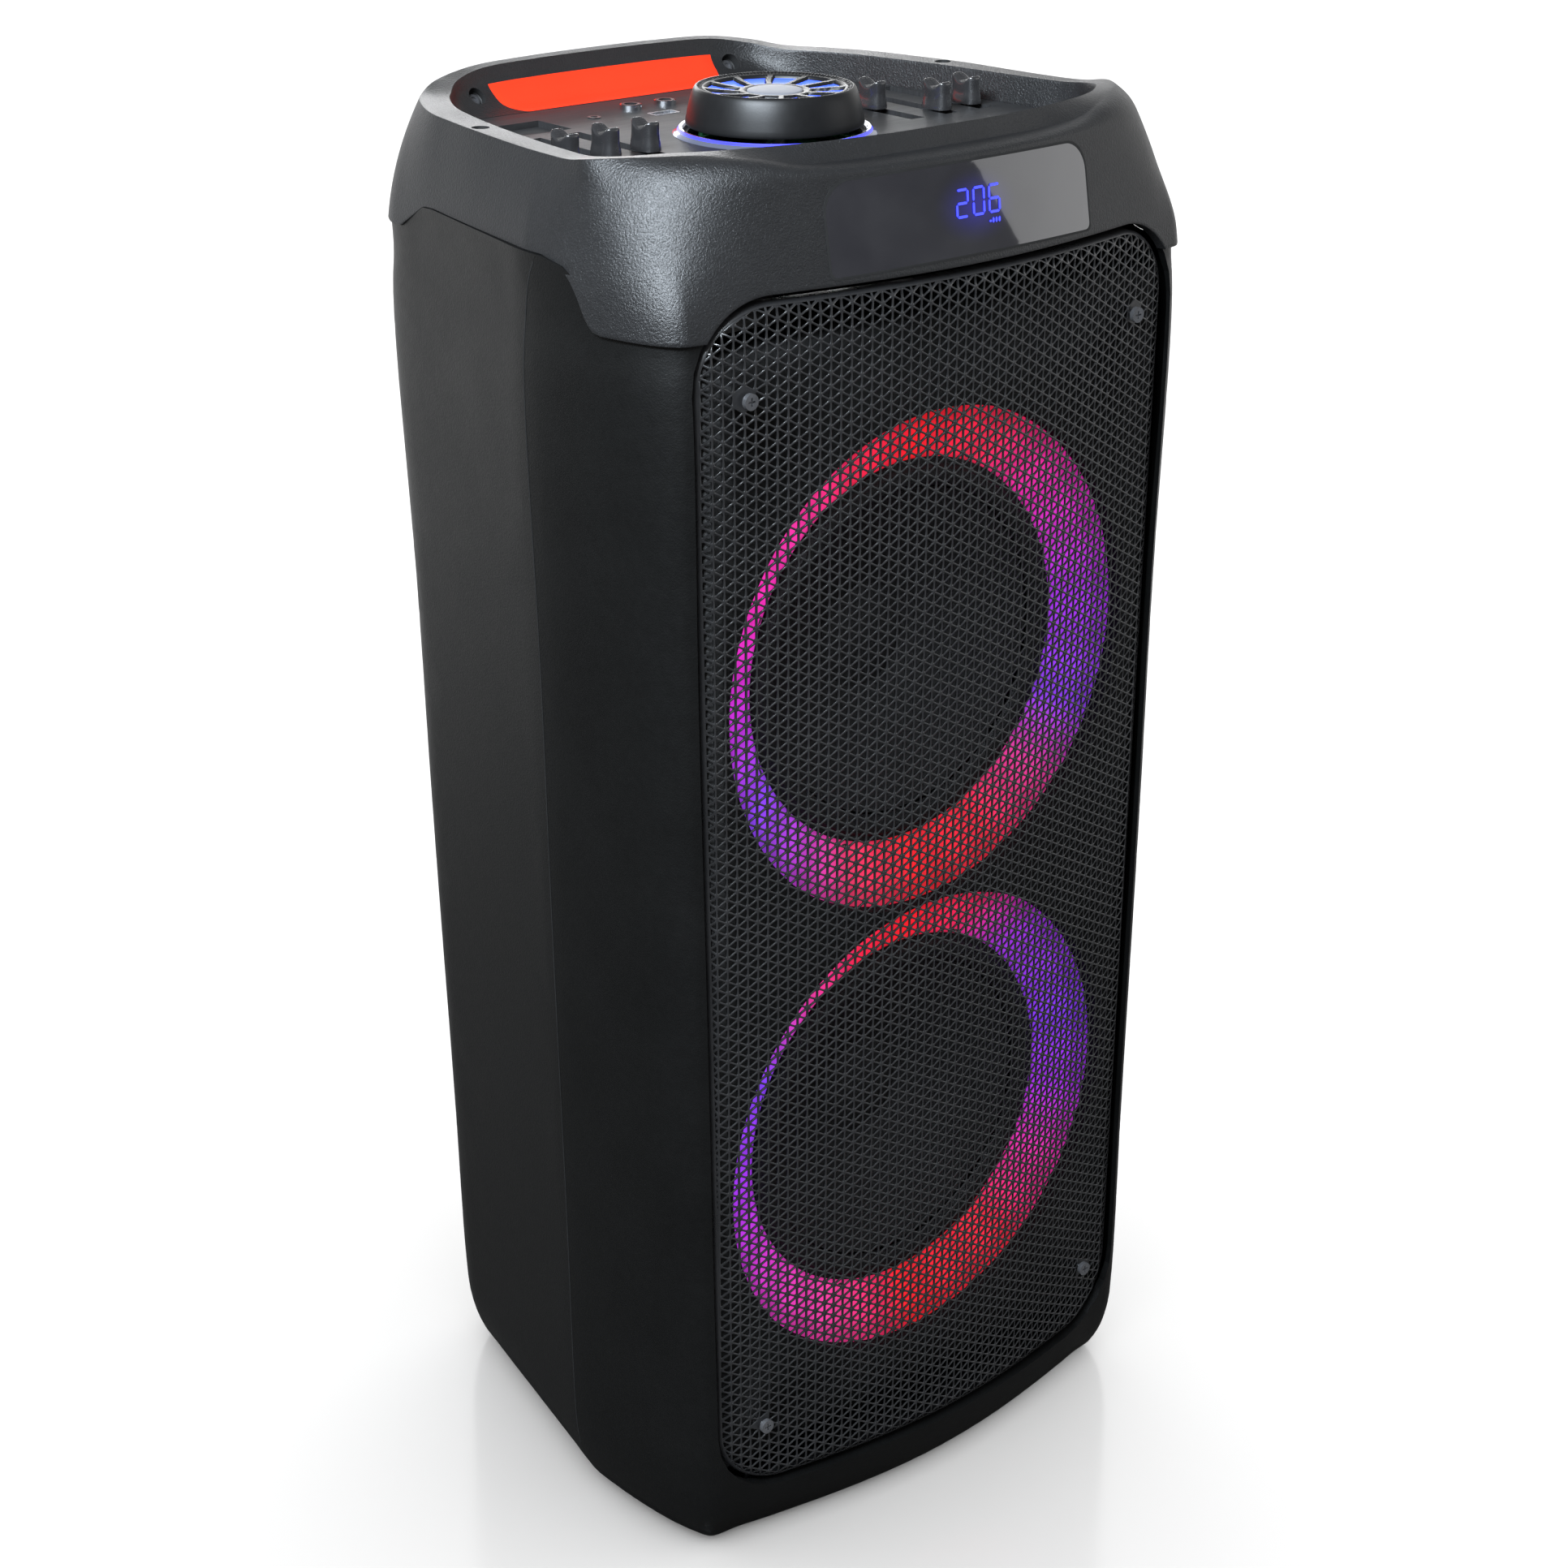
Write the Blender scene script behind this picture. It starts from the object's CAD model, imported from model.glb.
"""Party speaker: a tall case with two lit rings behind a pierced grille, and a black hood
on top that frames a control deck with a dial, six faders and a leaning display.

The speaker stands on z = 0 with its front towards -Y; +X is to the right seen from the
front.  Shapes are worked out in millimetres and turned into metres when a mesh is made;
shader coordinates, lamps and the camera are in metres.
"""
import bpy
import bmesh
import math
import numpy as np
from mathutils import Matrix, Vector


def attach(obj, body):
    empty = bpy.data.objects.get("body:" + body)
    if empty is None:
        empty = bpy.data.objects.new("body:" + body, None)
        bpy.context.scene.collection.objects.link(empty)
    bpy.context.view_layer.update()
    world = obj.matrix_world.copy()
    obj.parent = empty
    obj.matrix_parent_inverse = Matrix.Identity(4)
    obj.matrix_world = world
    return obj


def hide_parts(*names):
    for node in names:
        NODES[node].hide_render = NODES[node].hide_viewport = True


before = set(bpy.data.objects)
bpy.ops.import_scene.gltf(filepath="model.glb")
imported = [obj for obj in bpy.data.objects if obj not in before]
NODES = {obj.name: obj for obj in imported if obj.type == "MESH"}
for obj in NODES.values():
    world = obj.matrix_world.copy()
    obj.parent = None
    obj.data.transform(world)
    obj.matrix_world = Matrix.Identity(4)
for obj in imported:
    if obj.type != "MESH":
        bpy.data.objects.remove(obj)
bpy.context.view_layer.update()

MM = 0.001
FRONT_Y = -140.0           # foremost line of the case
SEAM_FRONT_Z = 613.5       # lower edge of the hood at the front
LEAN = math.radians(10)    # the hood's front and the display lean back
RING_Z = {"upper": 438.0, "lower": 193.0}   # heights of the lit ring centres
DIAL_Y = -1.3
DIAL_CENTER = (0, DIAL_Y, 671.0)


# ================================================================ curves
def smoothstep(value, start, end):
    t = np.clip((np.asarray(value, float) - start) / (end - start), 0.0, 1.0)
    return t * t * (3 - 2 * t)


def catmull(keys, positions):
    """Smooth curve through rows of keys, at positions 0 .. n-1."""
    keys = np.asarray(keys, float)
    count = len(keys)
    positions = np.clip(np.asarray(positions, float), 0, count - 1 - 1e-9)
    i = positions.astype(int)
    t = (positions - i)[:, None]
    before, start = keys[np.maximum(i - 1, 0)], keys[i]
    end, after = keys[i + 1], keys[np.minimum(i + 2, count - 1)]
    return 0.5 * ((2 * start) + (-before + end) * t
                  + (2 * before - 5 * start + 4 * end - after) * t ** 2
                  + (-before + 3 * start - 3 * end + after) * t ** 3)


def bezier(start, pull_start, pull_end, end, count):
    """Cubic curve without its first point."""
    u = (np.arange(count) + 1.0)[:, None] / count
    start, pull_start, pull_end, end = (
        np.asarray(p, float) for p in (start, pull_start, pull_end, end))
    return ((1 - u) ** 3 * start + 3 * u * (1 - u) ** 2 * pull_start
            + 3 * u * u * (1 - u) * pull_end + u ** 3 * end)


def resample(points, fractions):
    """Points at fractions of the length of a 2D line."""
    steps = np.hypot(*np.diff(points, axis=0).T)
    lengths = np.concatenate([[0], np.cumsum(steps)])
    at = np.asarray(fractions) * lengths[-1]
    return np.stack([np.interp(at, lengths, points[:, 0]),
                     np.interp(at, lengths, points[:, 1])], 1)


def normals(points):
    """Outward normals of a right half outline that runs from front to rear."""
    along = np.gradient(points, axis=0)
    along[0] = (1, 0)
    along[-1] = (-1, 0)
    along /= np.hypot(along[:, 0], along[:, 1])[:, None]
    return np.stack([along[:, 1], -along[:, 0]], 1)


def rounded_outline(corners, arc_steps, count):
    """Evenly spaced closed outline, mirrored in x.

    The corners are (centre x, centre z, radius, start angle) of the right half, upwards.
    """
    right = []
    for center_x, center_z, radius, start_angle in corners:
        for k in range(arc_steps + 1):
            t = math.radians(start_angle + 90.0 * k / arc_steps)
            right.append((center_x + radius * math.cos(t), center_z + radius * math.sin(t)))
    right = np.array(right)
    left = right[::-1] * (-1, 1)
    outline = np.concatenate([right, left, right[:1]])
    return resample(outline, np.linspace(0, 1, count + 1)[:-1])


# ================================================================ meshes
def grid_faces(rows, cols, wrap_rows=True):
    """Quads between rows of points; each row is a closed ring."""
    faces = []
    for r in range(rows if wrap_rows else rows - 1):
        a = r * cols
        b = (r + 1) % rows * cols
        for c in range(cols):
            d = (c + 1) % cols
            faces.append((a + c, a + d, b + d, b + c))
    return faces


def tube(rings):
    """Closed skin through rings of points, the last joined to the first."""
    return np.concatenate(rings), grid_faces(len(rings), len(rings[0]))


def lathe(profile, segments, center=(0, 0, 0), axis="z"):
    """Closed surface of revolution of (radius, height) points."""
    angles = np.arange(segments) / segments * 2 * math.pi
    verts, faces, rows = [], [], []
    for radius, height in profile:
        if radius < 1e-6:
            rows.append([len(verts)])
            verts.append((0, 0, height))
        else:
            rows.append(list(range(len(verts), len(verts) + segments)))
            verts += [(radius * math.cos(a), radius * math.sin(a), height) for a in angles]
    for lower, upper in zip(rows, rows[1:] + rows[:1]):
        if len(lower) == 1 and len(upper) == 1:
            continue
        for c in range(segments):
            d = (c + 1) % segments
            if len(lower) == 1:
                faces.append((lower[0], upper[c], upper[d]))
            elif len(upper) == 1:
                faces.append((lower[c], upper[0], lower[d]))
            else:
                faces.append((lower[c], upper[c], upper[d], lower[d]))
    verts = np.asarray(verts, float)
    if axis == "y":
        verts = verts[:, [0, 2, 1]]
    return verts + np.asarray(center, float), faces


def join(parts):
    """One shape from several (verts, faces)."""
    verts, faces = [], []
    for part_verts, part_faces in parts:
        faces += [tuple(k + len(verts) for k in face) for face in part_faces]
        verts.extend(part_verts)
    return np.array(verts, float), faces


def metre_mesh(name, shape):
    verts, faces = shape
    mesh = bpy.data.meshes.new(name)
    mesh.from_pydata((np.asarray(verts, float) * MM).tolist(), [],
                     [tuple(int(k) for k in face) for face in faces])
    mesh.update()
    return mesh


def turn_faces_out(mesh):
    bm = bmesh.new()
    bm.from_mesh(mesh)
    bmesh.ops.recalc_face_normals(bm, faces=bm.faces)
    bm.to_mesh(mesh)
    bm.free()


def link_object(name, data):
    ob = bpy.data.objects.new(name, data)
    bpy.context.scene.collection.objects.link(ob)
    return ob


def make(name, shape, finishes, body, replaces=None, smooth=True, sharp_angle=None,
         face_finish=None):
    """Object from a millimetre shape; finishes are material names parted by spaces."""
    mesh = metre_mesh(name, shape)
    if face_finish is not None:
        mesh.polygons.foreach_set("material_index", np.asarray(face_finish, np.int32))
    for finish in finishes.split():
        mesh.materials.append(FINISH[finish])
    ob = link_object(name, mesh)
    turn_faces_out(mesh)
    if smooth:
        mesh.polygons.foreach_set("use_smooth", np.ones(len(mesh.polygons), bool))
    if sharp_angle is not None:
        mesh.set_sharp_from_angle(angle=math.radians(sharp_angle))
    mesh.update()
    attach(ob, body)
    if replaces:
        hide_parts(replaces)
    return ob


def carved(ob, tool_mesh, least_share):
    """Mesh of ob less the tool, or None if the cut lost too large a share of the faces."""
    tool = link_object(tool_mesh.name, tool_mesh)
    cut = ob.modifiers.new("cut", "BOOLEAN")
    cut.operation, cut.object, cut.solver = "DIFFERENCE", tool, "EXACT"
    bpy.context.view_layer.update()
    result = bpy.data.meshes.new_from_object(
        ob.evaluated_get(bpy.context.evaluated_depsgraph_get()))
    ob.modifiers.remove(cut)
    bpy.data.objects.remove(tool)
    return result if len(result.polygons) > least_share * len(ob.data.polygons) else None


# ================================================================ shader nodes
FINISH = {}               # every material by name
NOISE_SPAN = (0.3, 0.7)   # where nearly all noise values fall
REARWARD = (0.64, 0.77)   # weights of x and y for the direction away from the camera


class Nodes:
    """Short ways to add nodes to one node tree."""

    def __init__(self, tree):
        self.tree = tree

    def add(self, kind, **settings):
        node = self.tree.nodes.new(kind)
        for key, value in settings.items():
            setattr(node, key, value)
        return node

    def link(self, source, target):
        self.tree.links.new(source, target)

    def coords(self):
        return self.add("ShaderNodeTexCoord").outputs["Object"]

    def axes(self, vector):
        node = self.add("ShaderNodeSeparateXYZ")
        self.link(vector, node.inputs[0])
        return node.outputs

    def noise(self, vector, scale, detail=2.0, rough=0.5):
        node = self.add("ShaderNodeTexNoise")
        node.inputs["Scale"].default_value = scale
        node.inputs["Detail"].default_value = detail
        node.inputs["Roughness"].default_value = rough
        self.link(vector, node.inputs["Vector"])
        return node.outputs["Fac"]

    def ramp(self, value, stops):
        node = self.add("ShaderNodeValToRGB")
        elements = node.color_ramp.elements
        while len(elements) > 1:
            elements.remove(elements[-1])
        for k, (position, color) in enumerate(stops):
            element = elements[0] if k == 0 else elements.new(position)
            element.position = position
            element.color = (*color, 1.0)
        self.link(value, node.inputs["Fac"])
        return node.outputs["Color"]

    def remap(self, value, to, span=NOISE_SPAN):
        node = self.add("ShaderNodeMapRange")
        limits = zip(("From Min", "From Max", "To Min", "To Max"), (*span, *to))
        for key, limit in limits:
            node.inputs[key].default_value = limit
        self.link(value, node.inputs["Value"])
        return node.outputs["Result"]

    def math(self, operation, *values):
        node = self.add("ShaderNodeMath", operation=operation)
        for k, value in enumerate(values):
            if isinstance(value, (int, float)):
                node.inputs[k].default_value = value
            else:
                self.link(value, node.inputs[k])
        return node.outputs[0]

    def plus(self, a, b):
        return self.math("ADD", a, b)

    def times(self, a, b):
        return self.math("MULTIPLY", a, b)

    def mixed(self, a, b, share_a, share_b):
        return self.plus(self.times(a, share_a), self.times(b, share_b))

    def length(self, a, b):
        return self.math("SQRT", self.plus(self.times(a, a), self.times(b, b)))

    def rearward(self, axes):
        return self.mixed(axes["X"], axes["Y"], *REARWARD)

    def choose(self, is_so, value_yes, value_no):
        """One value where is_so is 1 and another where it is 0."""
        return self.plus(self.times(is_so, value_yes),
                         self.times(self.math("SUBTRACT", 1.0, is_so), value_no))

    def bump(self, bsdf, height, strength, distance):
        node = self.add("ShaderNodeBump")
        node.inputs["Strength"].default_value = strength
        node.inputs["Distance"].default_value = distance
        self.link(height, node.inputs["Height"])
        self.link(node.outputs["Normal"], bsdf.inputs["Normal"])


def new_finish(name):
    material = bpy.data.materials.new(name)
    material.use_nodes = True
    FINISH[name] = material
    return Nodes(material.node_tree), material.node_tree.nodes.get("Principled BSDF")


def preset(bsdf, **values):
    """Set inputs, named in lower case with underscores."""
    for key, value in values.items():
        socket = key.replace("_", " ").title().replace("Ior", "IOR")
        bsdf.inputs[socket].default_value = value


# ================================================================ kinds of finish
def surface(name, color, rough, metallic=0.0, grain=1100.0, grain_strength=0.25,
            grain_depth=0.00015, var=0.25, rough_var=0.08, spec=0.5, coat=0.0, fine=None):
    """Mottled colour, uneven roughness and a fine grain in the normal.

    grain and fine are noise scales; var and rough_var are how far the mottling goes.
    """
    n, bsdf = new_finish(name)
    vector = n.coords()
    broad = n.noise(vector, scale=22.0, detail=4.0, rough=0.6)
    medium = n.noise(vector, scale=260.0, detail=3.0, rough=0.6)
    mottle = n.mixed(broad, medium, share_a=0.6, share_b=0.4)
    dark = [c * (1 - var) for c in color]
    light = [min(1.0, c * (1 + var)) for c in color]
    n.link(n.ramp(mottle, zip(NOISE_SPAN, (dark, light))), bsdf.inputs["Base Color"])
    rough_range = max(0.02, rough - rough_var), min(1.0, rough + rough_var)
    n.link(n.remap(mottle, to=rough_range), bsdf.inputs["Roughness"])
    preset(bsdf, metallic=metallic, specular_ior_level=spec)
    if coat:
        preset(bsdf, coat_weight=coat, coat_roughness=0.12)
    height = n.noise(vector, scale=grain, detail=2.0, rough=0.55)
    if fine:
        height = n.plus(height, n.times(n.noise(vector, scale=fine, detail=1.0), 0.5))
    n.bump(bsdf, height, strength=grain_strength, distance=grain_depth)


def brushed(name, color, rough, metallic, axis_scale, strength, spec=0.5):
    """Finish with fine parallel lines, drawn out by the scale along each axis."""
    n, bsdf = new_finish(name)
    mapping = n.add("ShaderNodeMapping")
    mapping.inputs["Scale"].default_value = axis_scale
    n.link(n.coords(), mapping.inputs["Vector"])
    lines = n.noise(mapping.outputs["Vector"], scale=1.0, detail=4.0, rough=0.7)
    broad = n.noise(n.coords(), scale=30.0, detail=3.0)
    dark = [c * 0.55 for c in color]
    light = [min(1, c * 1.6) for c in color]
    n.link(n.ramp(lines, zip(NOISE_SPAN, (dark, light))), bsdf.inputs["Base Color"])
    n.link(n.remap(n.mixed(lines, broad, share_a=0.7, share_b=0.3),
                   to=(rough - 0.1, rough + 0.12)), bsdf.inputs["Roughness"])
    preset(bsdf, metallic=metallic, specular_ior_level=spec)
    n.bump(bsdf, lines, strength=strength, distance=0.0001)


def glow(name, color, strength, var=0.1, scale=200.0):
    """Lit plastic whose strength wanders by the share var."""
    n, bsdf = new_finish(name)
    preset(bsdf, base_color=(*(c * 0.3 for c in color), 1), roughness=0.35,
           emission_color=(*color, 1))
    mottle = n.noise(n.coords(), scale=scale)
    n.link(n.remap(mottle, to=(strength * (1 - var), strength * (1 + var))),
           bsdf.inputs["Emission Strength"])
    n.bump(bsdf, mottle, strength=0.1, distance=0.0001)


def ring_glow(name, center_z, stops, strength=0.88):
    """Lit diffuser: colour by angle round the ring, brighter towards mid width."""
    n, bsdf = new_finish(name)
    axes = n.axes(n.coords())
    x = axes["X"]
    z = n.math("SUBTRACT", axes["Z"], center_z * MM)
    # clockwise from the top, seen from the front
    angle = n.math("ARCTAN2", x, z)
    turn = n.math("FRACT", n.plus(n.math("DIVIDE", angle, 2 * math.pi), 1.0))
    color = n.ramp(turn, stops)
    radius = n.length(x, z)
    inner = n.remap(radius, span=(0.0938, 0.0965), to=(0.55, 1.0))
    outer = n.times(n.remap(radius, span=(0.1115, 0.1155), to=(1.0, 0.70)),
                    n.remap(radius, span=(0.1155, 0.1218), to=(1.0, 0.85)))
    # 24 slightly brighter spots round the ring
    spots = n.remap(n.math("COSINE", n.times(angle, 24.0)), span=(-1.0, 1.0), to=(0.88, 1.08))
    mottle = n.remap(n.noise(n.coords(), scale=300.0), to=(0.93, 1.07))
    level = n.times(n.times(inner, outer), n.times(spots, mottle))
    preset(bsdf, base_color=(0.02, 0.015, 0.02, 1), roughness=0.6, specular_ior_level=0.1)
    n.link(color, bsdf.inputs["Emission Color"])
    # the ring throws less light on its surroundings than it shows the camera
    camera_ray = n.add("ShaderNodeLightPath").outputs["Is Camera Ray"]
    seen = n.remap(camera_ray, span=(0.0, 1.0), to=(0.25, 1.0))
    n.link(n.times(n.times(level, strength), seen), bsdf.inputs["Emission Strength"])
    n.bump(bsdf, n.noise(n.coords(), scale=900.0), strength=0.15, distance=0.0001)


def smoked_screen(name):
    """Nearly black polished acrylic with a faint blue haze round the lit digits."""
    n, bsdf = new_finish(name)
    vector = n.coords()
    mottle = n.noise(vector, scale=40.0)
    tones = (0.006, 0.006, 0.008), (0.010, 0.010, 0.012)
    n.link(n.ramp(mottle, zip(NOISE_SPAN, tones)), bsdf.inputs["Base Color"])
    n.link(n.remap(mottle, to=(0.03, 0.06)), bsdf.inputs["Roughness"])
    axes = n.axes(vector)
    haze_x, haze_z = 0.0025, 0.6545   # middle of the haze
    across = n.math("SUBTRACT", axes["X"], haze_x)
    upwards = n.times(n.math("SUBTRACT", axes["Z"], haze_z), 1.5)
    haze = n.remap(n.length(across, upwards), span=(0.004, 0.026), to=(1.0, 0.0))
    falloff, haze_strength = 2.0, 0.22
    n.link(n.times(n.math("POWER", haze, falloff), haze_strength),
           bsdf.inputs["Emission Strength"])
    preset(bsdf, emission_color=(0.05, 0.03, 0.9, 1), coat_weight=1.0, coat_roughness=0.02)
    n.bump(bsdf, mottle, strength=0.02, distance=0.0002)


# ================================================================ finishes
surface("hood_plastic", color=(0.0060, 0.0062, 0.0068), rough=0.41, grain=950,
        grain_strength=0.85, grain_depth=0.00036, var=0.12, rough_var=0.04, fine=2600)
surface("case_plastic", color=(0.0014, 0.0015, 0.0015), rough=0.42, grain=950,
        grain_strength=0.5, grain_depth=0.0002, var=0.12, rough_var=0.04, spec=0.33, fine=2600)
surface("grille_paint", color=(0.010, 0.0102, 0.011), rough=0.30, grain=1500,
        grain_strength=0.06, grain_depth=0.00008, var=0.2, rough_var=0.05, spec=0.7, coat=0.2)
surface("grille_hole_wall", color=(0.003, 0.003, 0.0032), rough=0.6, grain=1500,
        grain_strength=0.1, grain_depth=0.00008, var=0.2, spec=0.15)
surface("screw_black", color=(0.11, 0.112, 0.12), rough=0.32, metallic=0.7, grain=900,
        grain_strength=0.15, grain_depth=0.0001)
surface("screw_zinc", color=(0.55, 0.56, 0.58), rough=0.30, metallic=1.0, grain=700,
        grain_strength=0.1, grain_depth=0.0001, var=0.15)
surface("board_mask", color=(0.02, 0.10, 0.045), rough=0.35, grain=400,
        grain_strength=0.3, grain_depth=0.0002, var=0.4)
brushed("deck_brushed", color=(0.016, 0.0162, 0.017), rough=0.50, metallic=0.0,
        axis_scale=(18.0, 1500.0, 40.0), strength=0.30, spec=0.13)
surface("insert_red", color=(0.55, 0.017, 0.0018), rough=0.5, grain=900,
        grain_strength=0.12, grain_depth=0.0001, var=0.05, rough_var=0.04, spec=0.15)
surface("knob_black", color=(0.005, 0.0051, 0.0055), rough=0.38, spec=0.26, grain=1400,
        grain_strength=0.18, grain_depth=0.0001, var=0.12, rough_var=0.04)
surface("knob_grey", color=(0.11, 0.115, 0.13), rough=0.5, spec=0.25, grain=900,
        grain_strength=0.1, grain_depth=0.0001, var=0.08)
surface("fader_black", color=(0.014, 0.014, 0.015), rough=0.26, grain=1300,
        grain_strength=0.08, grain_depth=0.00006, var=0.15, rough_var=0.04, coat=0.5)
surface("nylon_black", color=(0.012, 0.012, 0.013), rough=0.35, grain=900,
        grain_strength=0.15, grain_depth=0.0001)
surface("gap_dark", color=(0.002, 0.002, 0.002), rough=0.7, grain=600, grain_strength=0.1)
surface("chrome", color=(0.78, 0.79, 0.82), rough=0.10, metallic=1.0, grain=500,
        grain_strength=0.03, grain_depth=0.00005, var=0.06, rough_var=0.04)
brushed("steel_sheet", color=(0.45, 0.46, 0.48), rough=0.32, metallic=1.0,
        axis_scale=(900.0, 40.0, 900.0), strength=0.1)
surface("baffle_black", color=(0.0035, 0.0034, 0.0034), rough=0.75, grain=500,
        grain_strength=0.35, grain_depth=0.0003, var=0.3)
surface("frame_black", color=(0.03, 0.03, 0.032), rough=0.4, metallic=0.4, grain=800,
        grain_strength=0.2)
surface("ferrite", color=(0.05, 0.05, 0.053), rough=0.45, metallic=0.3, grain=1000,
        grain_strength=0.3, var=0.3)
surface("cone_pulp", color=(0.006, 0.006, 0.0065), rough=0.75, grain=420,
        grain_strength=0.6, grain_depth=0.0004, var=0.3)
surface("rubber_black", color=(0.006, 0.006, 0.0065), rough=0.6, grain=900,
        grain_strength=0.2, grain_depth=0.0001)
surface("spider_cloth", color=(0.42, 0.28, 0.10), rough=0.8, grain=700,
        grain_strength=0.6, grain_depth=0.0004, var=0.25)
surface("plate_black", color=(0.025, 0.025, 0.027), rough=0.42, metallic=0.5, grain=1600,
        grain_strength=0.15, grain_depth=0.0001)
brushed("sink_aluminium", color=(0.5, 0.51, 0.53), rough=0.35, metallic=1.0,
        axis_scale=(40.0, 900.0, 900.0), strength=0.1)
surface("battery_wrap", color=(0.02, 0.05, 0.20), rough=0.3, grain=60,
        grain_strength=0.3, grain_depth=0.0006, var=0.2, coat=0.4)
surface("brass", color=(0.60, 0.42, 0.16), rough=0.28, metallic=1.0, grain=800,
        grain_strength=0.08)
glow("light_blue", color=(0.045, 0.11, 1.0), strength=1.7)
glow("halo_blue", color=(0.045, 0.05, 1.0), strength=1.6, var=0.45, scale=45.0)

# share of a turn clockwise from the top, colour
RED = (1.0, 0.012, 0.02)
RING_COLORS = {
    "upper": [
        (0.0, RED), (0.075, (0.95, 0.02, 0.09)), (0.14, (0.85, 0.02, 0.45)),
        (0.24, (0.42, 0.03, 0.90)), (0.32, (0.30, 0.05, 1.0)), (0.37, (0.8, 0.04, 0.35)),
        (0.43, (1.0, 0.02, 0.06)), (0.50, RED), (0.56, (1.0, 0.04, 0.16)),
        (0.62, (0.5, 0.05, 0.75)), (0.67, (0.28, 0.06, 1.0)), (0.74, (0.62, 0.03, 0.80)),
        (0.82, (1.0, 0.03, 0.55)), (0.88, (1.0, 0.04, 0.42)), (0.94, (1.0, 0.02, 0.09)),
        (1.0, RED)],
    "lower": [
        (0.0, RED), (0.06, (0.9, 0.02, 0.12)), (0.12, (0.35, 0.03, 0.75)),
        (0.22, (0.25, 0.04, 0.95)), (0.28, (0.42, 0.03, 0.9)), (0.335, (0.85, 0.03, 0.45)),
        (0.40, (1.0, 0.02, 0.06)), (0.50, RED), (0.58, (1.0, 0.05, 0.40)),
        (0.66, (0.72, 0.04, 0.62)), (0.75, (0.40, 0.04, 0.95)), (0.83, (0.25, 0.06, 1.0)),
        (0.90, (0.95, 0.05, 0.42)), (0.95, (1.0, 0.02, 0.08)), (1.0, RED)],
}
for which, center_z in RING_Z.items():
    ring_glow("ring_%s_lit" % which, center_z, RING_COLORS[which])
smoked_screen("screen_smoked")

# finish, then the CAD pieces that wear it
CAD_FINISHES = {
    "case_plastic": "front_bezel rear_cabinet bass_port",
    "hood_plastic": "top_hood",
    "grille_paint": "front_grille",
    "screw_black": "grille_screws hood_screws plate_screws",
    "baffle_black": "front_baffle",
    "ring_upper_lit": "light_ring_upper",
    "ring_lower_lit": "light_ring_lower",
    "board_mask": "ring_light_boards control_board halo_light_board display_board "
                  "amplifier_board power_supply",
    "frame_black": "woofer_frame_upper woofer_frame_lower",
    "ferrite": "woofer_magnet_upper woofer_magnet_lower",
    "cone_pulp": "woofer_cone_upper woofer_cone_lower",
    "rubber_black": "woofer_surrounds rubber_feet speaker_leads mains_lead deck_lead",
    "spider_cloth": "woofer_spiders",
    "screw_zinc": "driver_screws case_screws foot_screws",
    "deck_brushed": "control_panel",
    "steel_sheet": "fader_tracks dial_shaft dial_encoder usb_socket battery_bracket",
    "nylon_black": "halo_ring mic_jacks aux_jack mains_inlet rocker_housing",
    "knob_black": "dial_knob",
    "light_blue": "dial_lights",
    "knob_grey": "dial_cap",
    "chrome": "jack_nuts",
    "screen_smoked": "display_window",
    "insert_red": "handle_insert",
    "plate_black": "rear_plate",
    "fader_black": "power_rocker fader_cap_1 fader_cap_2 fader_cap_3 fader_cap_4 "
                   "fader_cap_5 fader_cap_6",
    "brass": "board_pillars",
    "sink_aluminium": "heat_sink",
    "battery_wrap": "battery_pack",
}


def dress(ob, material):
    if not ob.material_slots:
        ob.data.materials.append(material)
    for slot in ob.material_slots:
        slot.material = material
    ob.data.polygons.foreach_set("use_smooth", np.ones(len(ob.data.polygons), bool))
    ob.data.set_sharp_from_angle(angle=math.radians(28))


for finish, node_names in CAD_FINISHES.items():
    for node_name in node_names.split():
        if node_name in NODES:
            dress(NODES[node_name], FINISH[finish])


# ================================================================ case shape
def front_bow(x):
    """Y of the bowed case front."""
    return FRONT_Y + 0.00134 * x * x - 1.73e-8 * x ** 4


def case_half(z):
    """Right half of the case outline at height z, front centre to rear centre."""
    front_x = 137.4 + 7.1 * (z - 30.0) / 600.0
    side_x = 157.0 + 8.0 * (z - 80.0) / 534.0
    rear_x = 129.0 + 12.0 * (z - 54.0) / 546.0
    back_y = 140.0 - 0.005 * (600.0 - z)
    side_y, rear_y, rear_reach = -32.0, 104.0, 36.0   # ends of the straight side; rear corner
    x = front_x * np.arange(31) / 30.0
    front = np.stack([x, front_bow(x)], 1)
    front_y = front[-1, 1]
    corner = bezier((front_x, front_y), (front_x + 0.62 * (side_x - front_x), front_y + 3.5),
                    (side_x + 0.4, side_y - 0.52 * (side_y - front_y)), (side_x, side_y), 30)
    t = (np.arange(16) + 1.0)[:, None] / 16
    side = np.array([side_x, side_y]) * (1 - t) + np.array([rear_x, rear_y]) * t
    slope = (rear_x - side_x) / (rear_y - side_y)
    back_x = rear_x + slope * (back_y - rear_y)
    rear = bezier((rear_x, rear_y), (rear_x + slope * 20.0, 124.0),
                  (back_x - 16.0, back_y), (back_x - rear_reach, back_y), 24)
    t = (np.arange(12) + 1.0)[:, None] / 12
    back = np.array([back_x - rear_reach, back_y]) * (1 - t) + np.array([0.0, back_y]) * t
    return np.concatenate([front, corner, side, rear, back])


# y, z of the hood's lower edge along the side
SEAM_SIDE = [
    (-200, 613.5), (-84, 613.5), (-79, 614.5), (-75, 619.2), (-71, 627.2), (-66, 633.8),
    (-59, 638.2), (-46, 641.0), (62, 641.0), (72, 640.0), (86, 633.0), (98, 627.0),
    (108, 626.0), (200, 626.0)]


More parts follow.
